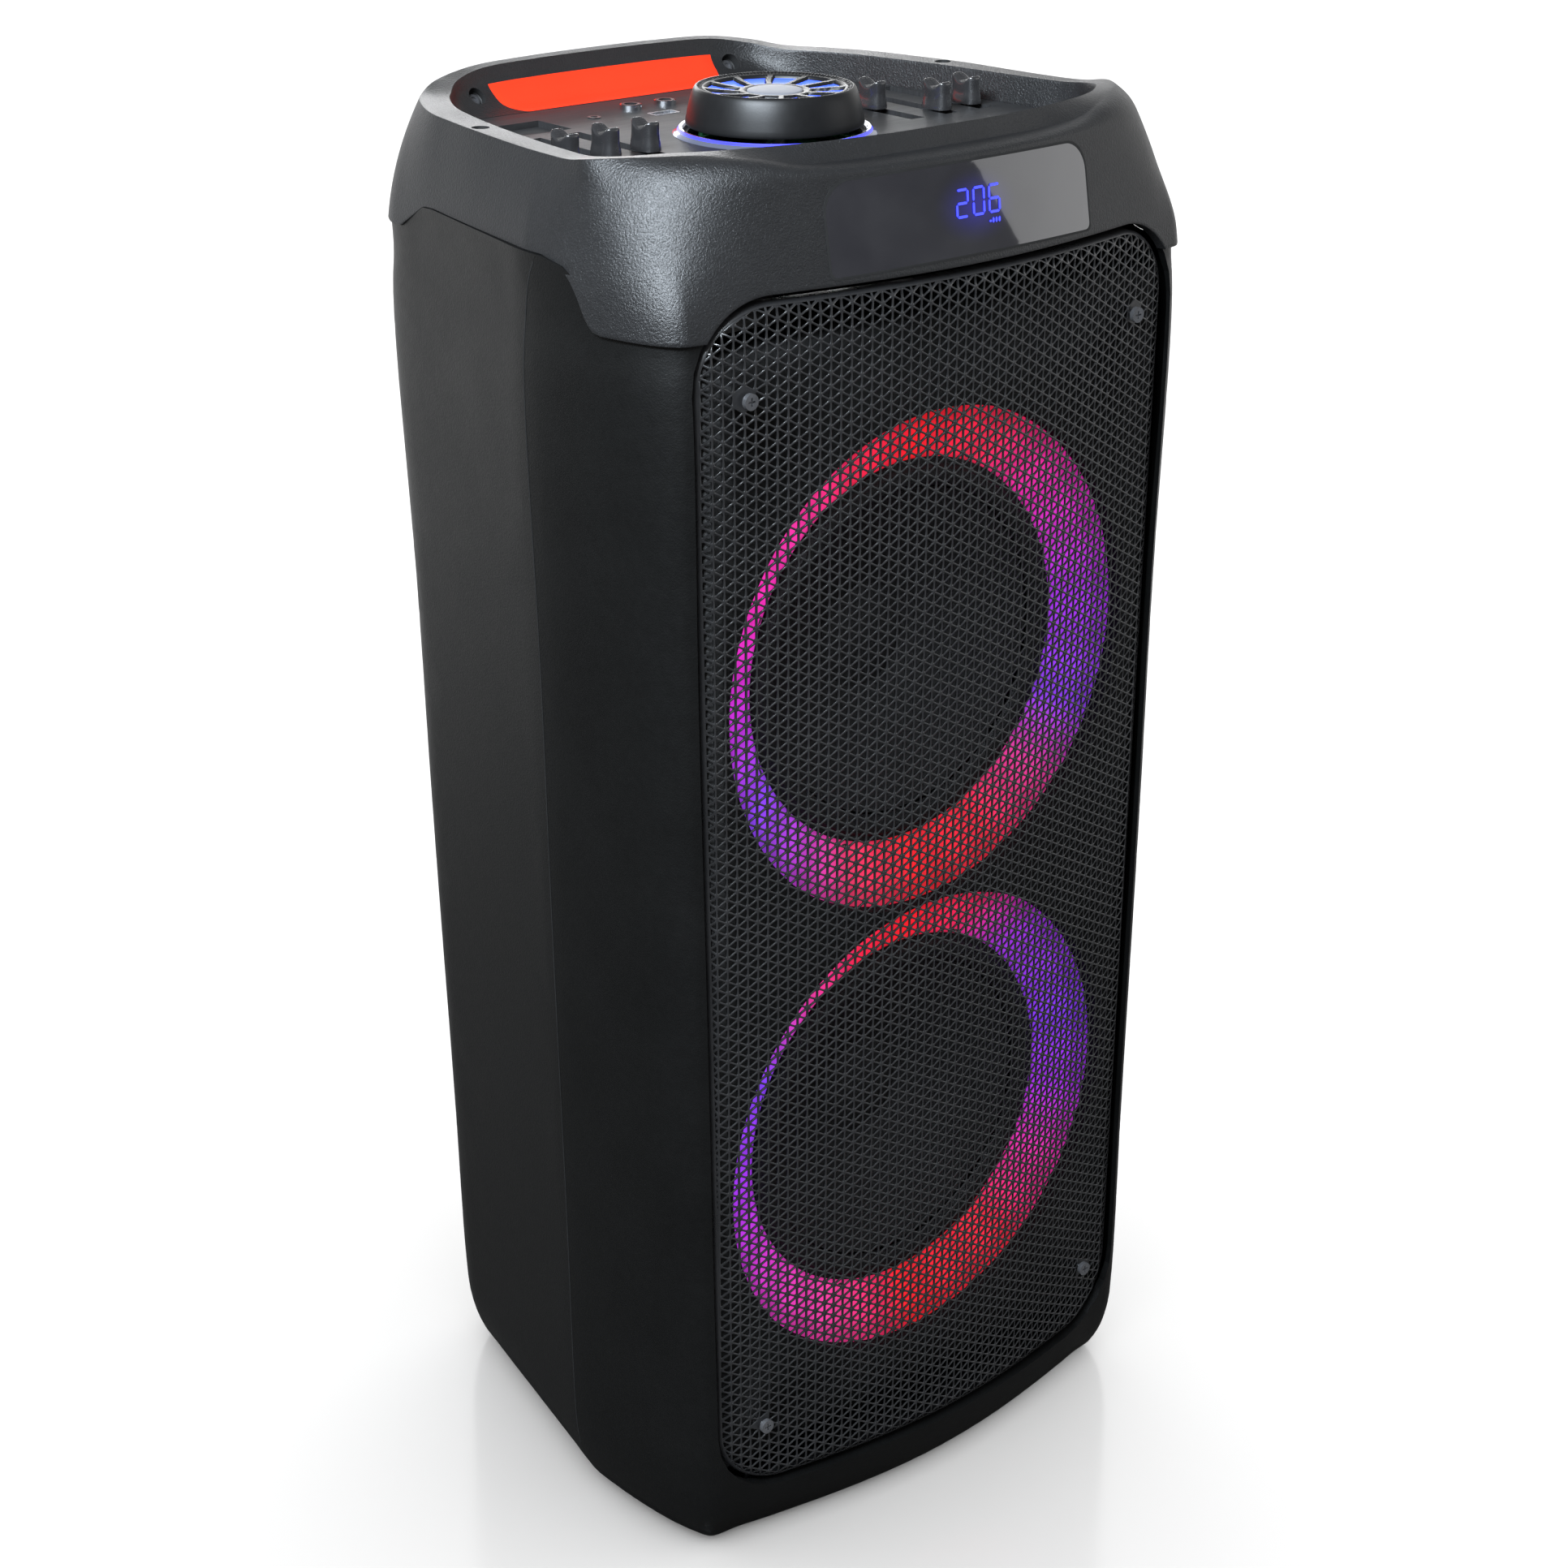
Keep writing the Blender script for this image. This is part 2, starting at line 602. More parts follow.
def seam_height(x, y):
    """Height of the hood's lower edge at a point of the outline."""
    side = np.interp(y, *np.transpose(SEAM_SIDE))
    # at the front the edge follows the grille's rounded top corners
    half_width, radius, arc_z = 143.5, 38.0, 592.0
    past = np.maximum(np.abs(x) - (half_width - radius), 0.0)
    arc = arc_z + np.sqrt(np.maximum(radius * radius - past ** 2, 0.0))
    arc = np.where(np.abs(x) < half_width, arc, 0.0)
    return np.where(y < -100.0, np.maximum(SEAM_FRONT_Z, arc), side)


# ================================================================ hood
# Matching stations of the right half, front centre to rear centre.
# x, y, z of the rim's outer edge
RIM_OUTER = [
    (0, -119, 678.3), (30, -118.6, 678.3), (60, -116.5, 678.4), (82, -114.8, 679.6),
    (100, -109.8, 683.2), (118, -99.5, 685.4), (135, -87, 685), (147, -72.5, 683.8),
    (152.5, -62, 682.6), (152.3, -50, 680.8), (151, -36, 680.2), (149, -10, 680),
    (145, 27, 680.3), (140, 56, 680.1), (134.5, 81, 680), (123.5, 106, 680),
    (110.5, 124.5, 680.3), (95, 134.5, 683.8), (70, 139.3, 687.2), (35, 141.2, 688.1),
    (0, 141.8, 688.3)]
# x, y, z of the rim's inner edge
RIM_INNER = [
    (0, -116.5, 686.8), (30, -115.8, 686.7), (58, -112.3, 686.6), (80, -107.5, 686.5),
    (98, -101.8, 686.3), (113, -93.5, 685.6), (126, -83, 684.8), (135, -73.5, 683.6),
    (140.5, -61, 682), (141, -49, 680.7), (139.8, -36, 680.3), (137, -10, 680.1),
    (131.8, 27, 680.1), (126, 56, 680), (119.5, 81, 680), (110, 101, 680),
    (100.5, 115, 680.3), (88, 127.5, 683.4), (68, 134.2, 686.4), (34, 136.4, 687.2),
    (0, 137.0, 687.3)]
# x, y of the foot of the inner wall, at deck height
DECK_Z = 667
WALL_FOOT = [(x, y, DECK_Z) for x, y in (
    (0, -98.3), (30, -97.9), (60, -96.3), (84, -92.0), (101, -87.1), (116.5, -81.4),
    (128, -76.2), (135.9, -69.3), (138.7, -60), (138.5, -48), (137.2, -36), (134.2, -9),
    (129.2, 26), (124.0, 56), (118.2, 82), (110.0, 101), (101.0, 110), (87, 113.0),
    (66, 113.5), (33, 113.6), (0, 113.6))]
# x, y on the case outline below each station
CASE_LINE = [
    (0, -141.8), (30, -140.6), (60, -137), (84, -132.8), (107, -128.5), (127, -124.6),
    (143, -121), (153, -110), (160, -91), (164, -68), (166.6, -42), (164.6, -12),
    (157.8, 27), (152.8, 56), (148.6, 81), (142.4, 107), (128, 131), (106, 141.2),
    (70, 141.8), (35, 141.8), (0, 141.8)]
# share of the way in and down the hollow under the rear ridge
REAR_HOLLOW = [(0, 0), (0.085, 0.38), (0.28, 0.64), (0.61, 0.88), (1, 1)]

STATIONS = np.linspace(0, 20, 301)
HOOD_PROUD = 1.8                 # hood face outside the case
LINE_Z = 641.0                   # height at which the stations are matched
LOW_Z, HIGH_Z = 600.0, 680.0     # case outlines the face is drawn between
SKIN = 3.0


def through_stations(keys):
    line = catmull(keys, STATIONS)
    line[[0, -1], 0] = 0
    return line


class HoodFace:
    """Outer face of the hood's right half, one point for every station."""
    roll_share, roll_z = 0.80, 674.5   # where the leaning front starts to roll over
    bulge_z, bulge_power = 603.0, 2.1  # how the sides curve inwards with height
    blur_width = 13.0

    def __init__(self, rim):
        self.rim = rim
        outline = case_half(LINE_Z)
        fractions = self.case_fractions(outline)
        self.low = resample(case_half(LOW_Z), fractions)
        self.high = resample(case_half(HIGH_Z), fractions)
        outward = normals(resample(outline, fractions))
        # soften sampling noise in the normals
        for _ in range(4):
            outward[1:-1] = (outward[:-2] + 2 * outward[1:-1] + outward[2:]) / 4
        self.outward = outward / np.hypot(outward[:, 0], outward[:, 1])[:, None]
        line = self.base(np.full(len(STATIONS), LINE_Z))
        self.seam_z = seam_height(line[:, 0], line[:, 1])
        self.blur = self.blur_weights(line)
        self.side_share = smoothstep(STATIONS, 3.6, 7.6)
        self.corner_share = (smoothstep(STATIONS, 3.2, 5.0)
                             * (1 - smoothstep(STATIONS, 9.0, 10.6)))

    @staticmethod
    def case_fractions(outline):
        """Length fraction of the case outline under every station."""
        steps = np.linspace(0, 1, 2001)
        dense = resample(outline, steps)
        dense = dense + normals(dense) * HOOD_PROUD
        keys = np.array([steps[np.argmin((dense[:, 0] - x) ** 2 + (dense[:, 1] - y) ** 2)]
                         for x, y in CASE_LINE])
        keys[0], keys[-1] = 0, 1
        fractions = catmull(keys[:, None], STATIONS)[:, 0]
        fractions = np.maximum.accumulate(np.clip(fractions, 0, 1))
        fractions[0], fractions[-1] = 0, 1
        return fractions

    def blur_weights(self, line):
        """Weights that average the face over a few millimetres along its length."""
        along = np.concatenate([[0], np.cumsum(np.hypot(*np.diff(line, axis=0).T))])
        weights = np.exp(-0.5 * ((along[:, None] - along[None, :]) / self.blur_width) ** 2)
        weights = weights * np.gradient(along)[None, :]
        return weights / weights.sum(1)[:, None]

    def base(self, z):
        """Case outline at the heights z, moved out to the hood face."""
        z = np.asarray(z, float)[:, None]
        return (self.low + (self.high - self.low) * (z - LOW_Z) / (HIGH_Z - LOW_Z)
                + self.outward * HOOD_PROUD)

    def side(self, t):
        z = self.seam_z + (self.rim[:, 2] - self.seam_z) * t
        base = self.base(z)
        rise = np.clip((z - self.bulge_z) / (self.rim[:, 2] - self.bulge_z), 0, 1)
        share = (rise ** self.bulge_power)[:, None]
        return np.concatenate([base + (self.rim[:, :2] - base) * share, z[:, None]], 1)

    def front_plane(self, z, share):
        base = self.base(z)
        x = base[:, 0] + (self.rim[:, 0] - base[:, 0]) * 0.25 * share
        y = base[:, 1] + math.tan(LEAN) * (z - SEAM_FRONT_Z)
        return np.stack([x, y, z], 1)

    def front(self, t):
        """A plane leaning back, rolled over at the top."""
        if t <= self.roll_share:
            z = self.seam_z + (self.roll_z - self.seam_z) * t / self.roll_share
            return self.front_plane(z, t / self.roll_share)
        u = (t - self.roll_share) / (1 - self.roll_share)
        start = self.front_plane(np.full(len(STATIONS), self.roll_z), 1.0)
        pull = self.front_plane(np.maximum(self.rim[:, 2] + 0.3, self.roll_z + 2.5), 1.0)
        pull[:, 0] = start[:, 0] * 0.6 + self.rim[:, 0] * 0.4
        return (1 - u) ** 2 * start + 2 * u * (1 - u) * pull + u * u * self.rim

    def at(self, t):
        """Face from the lower edge (t = 0) to the rim's outer edge (t = 1)."""
        side_share = self.side_share[:, None]
        face = self.front(t) * (1 - side_share) + self.side(t) * side_share
        # soften the front corner where front and side meet
        soft = (self.corner_share * smoothstep(t, 0.12, 0.55)
                * (1 - smoothstep(t, 0.80, 1.0)))[:, None]
        return face * (1 - soft) + (self.blur @ face) * soft

    def inward(self, points, distance, rise=0.0):
        moved = points.copy()
        distance = np.broadcast_to(distance, (len(points),))
        moved[:, :2] -= self.outward * distance[:, None]
        moved[:, 2] += rise
        return moved


def inner_wall_rows(inner, foot):
    """Inner wall from rim to deck: straight at the sides, hollow under the rear ridge."""
    rear = smoothstep(STATIONS, 15.3, 17.0)[:, None]
    hollow = catmull(REAR_HOLLOW, np.linspace(0, 4, 15))
    rows = []
    for k, straight in enumerate(np.linspace(0, 1, 15)):
        share = straight * (1 - rear) + hollow[k][None, :] * rear
        rows.append(inner + (foot - inner) * share[:, [0, 0, 1]])
    rows[0][:, 2] -= 0.5
    return rows


def hood_shape():
    outer, inner, foot = (through_stations(k) for k in (RIM_OUTER, RIM_INNER, WALL_FOOT))
    face = HoodFace(outer)
    bottom = face.at(0.0)
    rear = smoothstep(STATIONS, 6.0, 8.0)
    lip = 5.0 * (1 - rear) + 2.4 * rear
    rows = [face.inward(bottom, lip, rise=9.0), face.inward(bottom, lip),
            face.inward(bottom, 0.9), face.inward(bottom, 0.25, rise=0.12)]
    heights = np.concatenate([[0.012], np.linspace(0.03, 0.80, 30),
                              np.linspace(0.815, 0.985, 14)])
    rows += [face.at(t) for t in heights]
    # rim edge, slightly rounded
    near = face.at(0.994)
    rows += [near, outer * 0.70 + near * 0.16 + (outer + (inner - outer) * 0.05) * 0.14]
    rows += [outer + (inner - outer) * t
             for t in (0.06, 0.2, 0.35, 0.5, 0.65, 0.8, 0.92, 0.985)]
    rows += inner_wall_rows(inner, foot)
    # under the deck, then up inside the face
    low = foot.copy()
    low[:, 2] = 661.0
    under = low.copy()
    under[:, :2] += normals(foot[:, :2]) * 2.0
    rows += [low, under, face.inward(face.at(0.72), SKIN), face.inward(face.at(0.3), SKIN)]
    return tube([np.concatenate([row, row[1:-1][::-1] * (-1, 1, 1)]) for row in rows])


hood = make("hood_shell", hood_shape(), "hood_plastic", "case", "top_hood",
            sharp_angle=32)

# ================================================================ grille
GRILLE_TOP_HALF, GRILLE_FOOT_HALF = 140.3, 133.2   # half widths
GRILLE_LOW, GRILLE_HIGH = 33.2, 626.8
GRILLE_RADIUS = 34.8
GRILLE_SCREWS = [(116.2, 586.3), (-116.2, 586.3), (110.0, 67.7), (-110.0, 67.7)]
PITCH_X, PITCH_Z = 5.1, 5.9     # lattice of points between the triangular holes
SHEET = 1.0
SHEET_EDGE = 1.3                # the sheet ends this far inside the outline
HALF_RIB = 0.43
HOLE_CORNER = 0.15              # share cut off each hole corner


def grille_depth_in(x, z):
    """Distance inside the grille's rounded outline."""
    half_width = (GRILLE_FOOT_HALF + (GRILLE_TOP_HALF - GRILLE_FOOT_HALF)
                  * (z - GRILLE_LOW) / (GRILLE_HIGH - GRILLE_LOW))
    from_side = half_width - np.abs(x)
    from_end = np.minimum(GRILLE_HIGH - z, z - GRILLE_LOW)
    corner_x, corner_z = GRILLE_RADIUS - from_side, GRILLE_RADIUS - from_end
    corner = GRILLE_RADIUS - np.hypot(np.maximum(corner_x, 0), np.maximum(corner_z, 0))
    return np.where((corner_x > 0) & (corner_z > 0), corner, np.minimum(from_side, from_end))


def grille_y(x, z):
    """Front of the sheet: bowed, turned back at the edge and dished round the screws."""
    edge = np.clip((5.0 - grille_depth_in(x, z)) / 5.0, 0, 1.3)
    y = front_bow(x) + 1.6 + 3.6 * edge ** 2.4
    for screw_x, screw_z in GRILLE_SCREWS:
        y = y + 0.8 * (1 - smoothstep(np.hypot(x - screw_x, z - screw_z), 4.5, 10.0))
    return y


def pulled_to_edge(x, z):
    for _ in range(6):
        depth = float(grille_depth_in(x, z))
        slope_x = (float(grille_depth_in(x + 0.01, z)) - depth) / 0.01
        slope_z = (float(grille_depth_in(x, z + 0.01)) - depth) / 0.01
        steepness = slope_x * slope_x + slope_z * slope_z
        if steepness < 1e-6 or abs(SHEET_EDGE - depth) < 1e-3:
            break
        x += slope_x * (SHEET_EDGE - depth) / steepness
        z += slope_z * (SHEET_EDGE - depth) / steepness
    return x, z


def lattice():
    """Points (x, z) in staggered columns and the triangles between them."""
    index, points = {}, []
    for i in range(-28, 29):
        for j in range(4, 108):
            x, z = i * PITCH_X, j * PITCH_Z + (0.5 * PITCH_Z if i % 2 else 0.0)
            depth = float(grille_depth_in(x, z))
            if depth < -3.2:
                continue
            if depth < SHEET_EDGE:
                x, z = pulled_to_edge(x, z)
            index[i, j] = len(points)
            points.append((x, z))
    triangles = []
    for (i, j), here in index.items():
        above = index.get((i, j + 1))
        for step in (-1, 1):
            beside = index.get((i + step, j + i % 2))
            if above is not None and beside is not None:
                triangles.append((here, above, beside) if step < 0 else (here, beside, above))
    points, triangles = np.array(points), np.array(triangles)
    a, b, c = points[triangles.T]
    area = 0.5 * ((b[:, 0] - a[:, 0]) * (c[:, 1] - a[:, 1])
                  - (b[:, 1] - a[:, 1]) * (c[:, 0] - a[:, 0]))
    # drop slivers and turn all the rest the same way
    keep = np.abs(area) > 1.2
    triangles, area = triangles[keep], area[keep]
    flip = area < 0
    triangles[flip] = triangles[flip][:, [0, 2, 1]]
    return points, triangles, np.abs(area)


def hole_outlines(points, triangles, area):
    """Which triangles are pierced, and the six (x, z) corners of each hole."""
    a, b, c = points[triangles.T]
    middle = (a + b + c) / 3
    closed = np.zeros(len(triangles), bool)   # screws sit on closed metal
    for screw_x, screw_z in GRILLE_SCREWS:
        closed |= np.hypot(middle[:, 0] - screw_x, middle[:, 1] - screw_z) < 5.2
    side_a, side_b, side_c = np.hypot(*(b - c).T), np.hypot(*(c - a).T), np.hypot(*(a - b).T)
    around = side_a + side_b + side_c
    center = (a * side_a[:, None] + b * side_b[:, None] + c * side_c[:, None]) / around[:, None]
    inradius = 2 * area / around
    shrink = (inradius - HALF_RIB) / inradius
    pierced = (shrink > 0.28) & ~closed
    center, shrink = center[pierced], shrink[pierced][:, None]
    corners = [center + (v[pierced] - center) * shrink for v in (a, b, c)]
    outline = []
    for k in range(3):
        for other in (corners[(k - 1) % 3], corners[(k + 1) % 3]):
            outline.append(corners[k] + (other - corners[k]) * HOLE_CORNER)
    return pierced, np.stack(outline, 1).reshape(-1, 2)


def hole_faces(triangle, front, back, behind):
    """Faces round one hole and how each is finished.

    front and back are the first corners of its outlines, behind the offset of the
    back lattice points.
    """
    faces = []
    for k in range(3):
        a, b = int(triangle[k]), int(triangle[(k + 1) % 3])
        i, j = 2 * k + 1, (2 * k + 2) % 6
        faces += [(a, b, front + j, front + i),
                  (behind + b, behind + a, back + i, back + j),
                  (a, front + i, front + 2 * k),
                  (behind + a, back + 2 * k, back + i)]
    for k in range(6):
        m = (k + 1) % 6
        faces.append((front + k, front + m, back + m, back + k))
    return faces, [0, 1] * 6 + [1] * 6


def grille_shape():
    """Pierced sheet; finish 0 on its front and edge, 1 on its back and in the holes."""
    points, triangles, area = lattice()
    pierced, outlines = hole_outlines(points, triangles, area)

    def layer(flat, back):
        return np.stack([flat[:, 0], grille_y(flat[:, 0], flat[:, 1]) + back, flat[:, 1]], 1)
    verts = np.concatenate([layer(points, 0.0), layer(points, SHEET),
                            layer(outlines, 0.22), layer(outlines, SHEET - 0.1)])
    behind = len(points)
    faces, finishes = [], []
    for a, b, c in triangles[~pierced]:
        faces += [(a, b, c), (behind + a, behind + c, behind + b)]
        finishes += [0, 1]
    for k, triangle in enumerate(triangles[pierced]):
        front = 2 * behind + 6 * k
        new_faces, new_finishes = hole_faces(triangle, front, front + len(outlines), behind)
        faces += new_faces
        finishes += new_finishes
    # close the outer edge between front and back
    edges = {(int(t[k]), int(t[(k + 1) % 3])): True for t in triangles for k in range(3)}
    for a, b in edges:
        if (b, a) not in edges:
            faces.append((b, a, behind + a, behind + b))
            finishes.append(0)
    used = sorted({int(k) for face in faces for k in face})
    new_index = {old: new for new, old in enumerate(used)}
    return verts[used], [tuple(new_index[int(k)] for k in face) for face in faces], finishes


*grille, grille_finishes = grille_shape()
make("grille_mesh", grille, "grille_paint grille_hole_wall", "case",
     "front_grille", face_finish=grille_finishes)


# ================================================================ lit rings
def open_baffle():
    """Baffle with both ring seats opened to the rings' full width; None if the cut fails."""
    source = NODES["front_baffle"]
    baffle = bpy.data.objects.new("baffle_board", source.data.copy())
    baffle.matrix_world = source.matrix_world.copy()
    bpy.context.scene.collection.objects.link(baffle)
    plug = [(0, -130.0), (122.3, -130.0), (122.3, -104.0), (0, -104.0)]
    tool = metre_mesh("tool", join([lathe(plug, 144, center=(0, 0, z), axis="y")
                                    for z in RING_Z.values()]))
    turn_faces_out(tool)
    result = carved(baffle, tool, least_share=0.7)
    if result is None:
        bpy.data.objects.remove(baffle)
        return None
    baffle.data = result
    baffle.data.materials.clear()
    baffle.data.materials.append(FINISH["baffle_black"])
    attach(baffle, "case")
    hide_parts("front_baffle")
    return baffle


# radius, y of the dished diffuser
LENS_PROFILE = [
    (121.9, -110.2), (120.4, -110.3), (114.5, -107.0), (108.0, -103.6), (101.0, -99.8),
    (96.6, -97.4), (94.0, -96.2), (93.9, -94.6), (96.6, -94.8), (108.0, -100.6),
    (121.9, -106.0)]
# without the opened seats the wider lenses would not fit
if open_baffle():
    for which, center_z in RING_Z.items():
        make("ring_lens_" + which, lathe(LENS_PROFILE, 360, center=(0, 0, center_z), axis="y"),
             "ring_%s_lit" % which, "case", "light_ring_" + which,
             sharp_angle=60)

# ================================================================ grille edge
# inset from the outline, distance back
EDGE_PROFILE = [(1.75, 0.0), (1.1, 0.35), (0.55, 1.1), (0.12, 2.2), (0.0, 3.6), (0.0, 6.5),
                (0.9, 6.5), (0.9, 3.8), (1.5, 1.7), (1.75, 1.2)]


def grille_outline(inset):
    foot_half, top_half = GRILLE_FOOT_HALF - inset, GRILLE_TOP_HALF - inset
    low, high, radius = GRILLE_LOW + inset, GRILLE_HIGH - inset, GRILLE_RADIUS - inset
    slope = (top_half - foot_half) / (high - low)
    corners = [(foot_half + slope * (z - low) - radius, z, radius, start_angle)
               for z, start_angle in ((low + radius, -90), (high - radius, 0))]
    return rounded_outline(corners, arc_steps=24, count=720)


def grille_edge_shape():
    """Rolled strip that finishes the pierced sheet."""
    start = grille_outline(EDGE_PROFILE[0][0])
    start_y = grille_y(start[:, 0], start[:, 1])
    rings = []
    for inset, back in EDGE_PROFILE:
        outline = grille_outline(inset)
        rings.append(np.stack([outline[:, 0], start_y + back, outline[:, 1]], 1))
    return tube(rings)


make("grille_rolled_edge", grille_edge_shape(), "grille_paint", "case",
     sharp_angle=50)


# ================================================================ rear insert
def rear_wall(x, t):
    """Point on the hollow wall under the rear ridge (t 0 at the ridge, 1 at the deck)."""
    ridge = catmull(RIM_INNER, [20 - abs(x) / 34.0])[0]
    foot = catmull(WALL_FOOT, [20 - abs(x) / 33.0])[0]
    inwards, down = catmull(REAR_HOLLOW, [t * 4.0])[0]
    return np.array([x, ridge[1] + (foot[1] - ridge[1]) * inwards,
                     ridge[2] + (foot[2] - ridge[2]) * down])


def insert_shape():
    """Thin panel laid on the hollow wall, narrower towards the deck."""
    cols, rows = 81, 25
    top_t, foot_t = 0.265, 0.985
    proud, edge_proud, sunk = 0.55, 0.05, 1.2
    front, back = [], []
    for r in range(rows):
        u = r / (rows - 1)
        t = top_t + (foot_t - top_t) * u
        half = 68.0 - 2.5 * u - 8.5 * max(0.0, (u - 0.45) / 0.55) ** 2.2
        for c in range(cols):
            x = -half + 2 * half * c / (cols - 1)
            point = rear_wall(x, t)
            down = rear_wall(x, min(t + 0.01, 1.0)) - point
            normal = np.array([0, down[2], -down[1]])
            normal /= max(np.linalg.norm(normal), 1e-9)
            if normal[2] < 0:
                normal = -normal
            inset = min(min(c, cols - 1 - c) / 3.0, min(r, rows - 1 - r) / 2.0)
            lift = proud * min(1.0, inset) ** 0.5 if inset > 0 else edge_proud
            front.append(point + normal * lift)
            back.append(point - normal * sunk)
    behind = cols * rows
    faces = []
    for r in range(rows - 1):
        for c in range(cols - 1):
            a = r * cols + c
            b = behind + a
            faces += [(a, a + 1, a + cols + 1, a + cols), (b, b + cols, b + cols + 1, b + 1)]
    for c in range(cols - 1):
        a = (rows - 1) * cols + c
        faces += [(c + 1, c, behind + c, behind + c + 1),
                  (a, a + 1, behind + a + 1, behind + a)]
    for r in range(rows - 1):
        a = r * cols
        b = a + cols - 1
        faces += [(a, a + cols, behind + a + cols, behind + a),
                  (b + cols, b, behind + b, behind + b + cols)]
    return np.concatenate([front, back]), faces


make("grip_insert", insert_shape(), "insert_red", "case", "handle_insert",
     sharp_angle=60)


# ================================================================ hood screw holes
def aimed(shape, direction, place):
    """Shape with its z axis turned to the direction and its origin moved to the place."""
    verts, faces = shape
    turn = Vector((0, 0, 1)).rotation_difference(Vector(direction).normalized()).to_matrix()
    return verts @ np.array(turn).T + np.asarray(place, float), faces


def screw_hole(radius, depth):
    """Cutter for a blind round hole."""
    return lathe([(0, 3.0), (radius, 3.0), (radius, -depth + 0.6), (radius - 0.6, -depth),
                  (0, -depth)], 48)


def screw_head(hole_radius, depth):
    """Socket head at the bottom of a hole."""
    radius = hole_radius * 0.72
    return lathe([(0, -depth - 0.2), (radius, -depth - 0.2), (radius, -depth + 0.9),
                  (radius - 0.5, -depth + 1.3), (radius * 0.5, -depth + 1.35),
                  (radius * 0.45, -depth + 0.5), (0, -depth + 0.4)], 40)


# radius, depth, direction, place on the right
HOOD_HOLES = [(4.1, 3.4, (0, 0, 1), (138.4, 35.0, 680.3)),
              (4.6, 4.2, (0, -0.80, 0.60), rear_wall(77.5, 0.47))]
cutters, heads = [], []
for radius, depth, direction, (x, y, z) in HOOD_HOLES:
    for side in (-1, 1):
        cutters.append(aimed(screw_hole(radius, depth), direction, (side * x, y, z)))
        heads.append(aimed(screw_head(radius, depth), direction, (side * x, y, z)))

cutter = metre_mesh("cut", join(cutters))
# the cut faces take the second slot, the dark one
for finish in ("hood_plastic", "gap_dark"):
    cutter.materials.append(FINISH[finish])
cutter.polygons.foreach_set("material_index", np.ones(len(cutter.polygons), np.int32))
turn_faces_out(cutter)
hood.data.materials.append(FINISH["gap_dark"])
pierced_hood = carved(hood, cutter, least_share=0.9)
if pierced_hood is not None:
    hood.data = pierced_hood
    hood.data.set_sharp_from_angle(angle=math.radians(32))
make("hood_screw_heads", join(heads), "screw_black", "case", sharp_angle=40)

# ================================================================ dial
WINDOW = 1.7    # depth of the twelve windows
# radius, height, window depth, tick depth
DIAL_RINGS = [
    (3.05, 1.5), (3.05, 10.4), (13.2, 10.4), (13.25, 14.7), (13.9, 15.1), (15.4, 15.2),
    (16.4, 15.25), (16.9, 15.3, WINDOW * 0.25), (17.3, 15.3, WINDOW), (20, 15.45, WINDOW),
    (23, 15.65, WINDOW), (26, 15.9, WINDOW), (29, 16.2, WINDOW), (31.6, 16.45, WINDOW),
    (32.0, 16.5, WINDOW * 0.3), (32.5, 16.6), (33.2, 16.75), (33.5, 16.8),
    (33.9, 16.9, 0, 0.38), (34.8, 17.15, 0, 0.42), (35.6, 17.4, 0, 0.38), (36.0, 17.5),
    (36.5, 17.45), (37.0, 17.1), (37.6, 16.2), (38.4, 14.2), (39.4, 11.0), (40.4, 7.0),
    (41.1, 3.6), (41.5, 1.6), (41.45, 0.7), (41.1, 0.15), (40.4, 0.0), (39.4, 0.1),
    (38.2, 8.0), (9.0, 8.4), (9.0, 1.5)]
DIAL_ANGLES = np.arange(720) / 720 * 2 * math.pi


def dial_ring(radius, height, window=0.0, ticks=0.0):
    swept = DIAL_ANGLES + 0.10 * (radius - 17) / 15
    # 0 in the middle of a window, 1 in the middle of a spoke
    across = np.abs(((swept * 12 / (2 * math.pi)) % 1.0) - 0.5) * 2
    spoke = 0.17 + 0.10 * (1 - (radius - 15.0) / 18.0)
    z = height - window * (1 - smoothstep(across, 1 - spoke - 0.07, 1 - spoke))
    z = z - ticks * smoothstep(0.5 + 0.5 * np.cos(DIAL_ANGLES * 130), 0.35, 0.65)
    return np.stack([radius * np.cos(DIAL_ANGLES), radius * np.sin(DIAL_ANGLES), z], 1)


make("dial_body", tube([dial_ring(*row) + np.array(DIAL_CENTER) for row in DIAL_RINGS]),
     "knob_black", "dial", "dial_knob", sharp_angle=45)
LIGHT_PROFILE = [(17.0, 13.0), (17.0, 14.05), (24, 14.35), (31.9, 15.05), (31.9, 13.0)]
make("dial_window_light", lathe(LIGHT_PROFILE, 240, center=DIAL_CENTER), "light_blue",
     "dial", "dial_lights", sharp_angle=40)
DISC_PROFILE = [(0, 12.8), (9, 12.8), (12.9, 12.8), (12.98, 14.9), (12.7, 15.35),
                (12.0, 15.55), (6, 15.75), (0, 15.8)]
make("dial_disc", lathe(DISC_PROFILE, 96, center=DIAL_CENTER), "knob_grey", "dial_button",
     "dial_cap", sharp_angle=50)


def clear_bevel():
    n, bsdf = new_finish("clear_bevel")
    preset(bsdf, base_color=(0.10, 0.11, 0.16, 1), metallic=0.5)
    n.link(n.remap(n.noise(n.coords(), scale=120.0), to=(0.10, 0.2)), bsdf.inputs["Roughness"])
    n.bump(bsdf, n.noise(n.coords(), scale=300.0), strength=0.05, distance=0.0001)


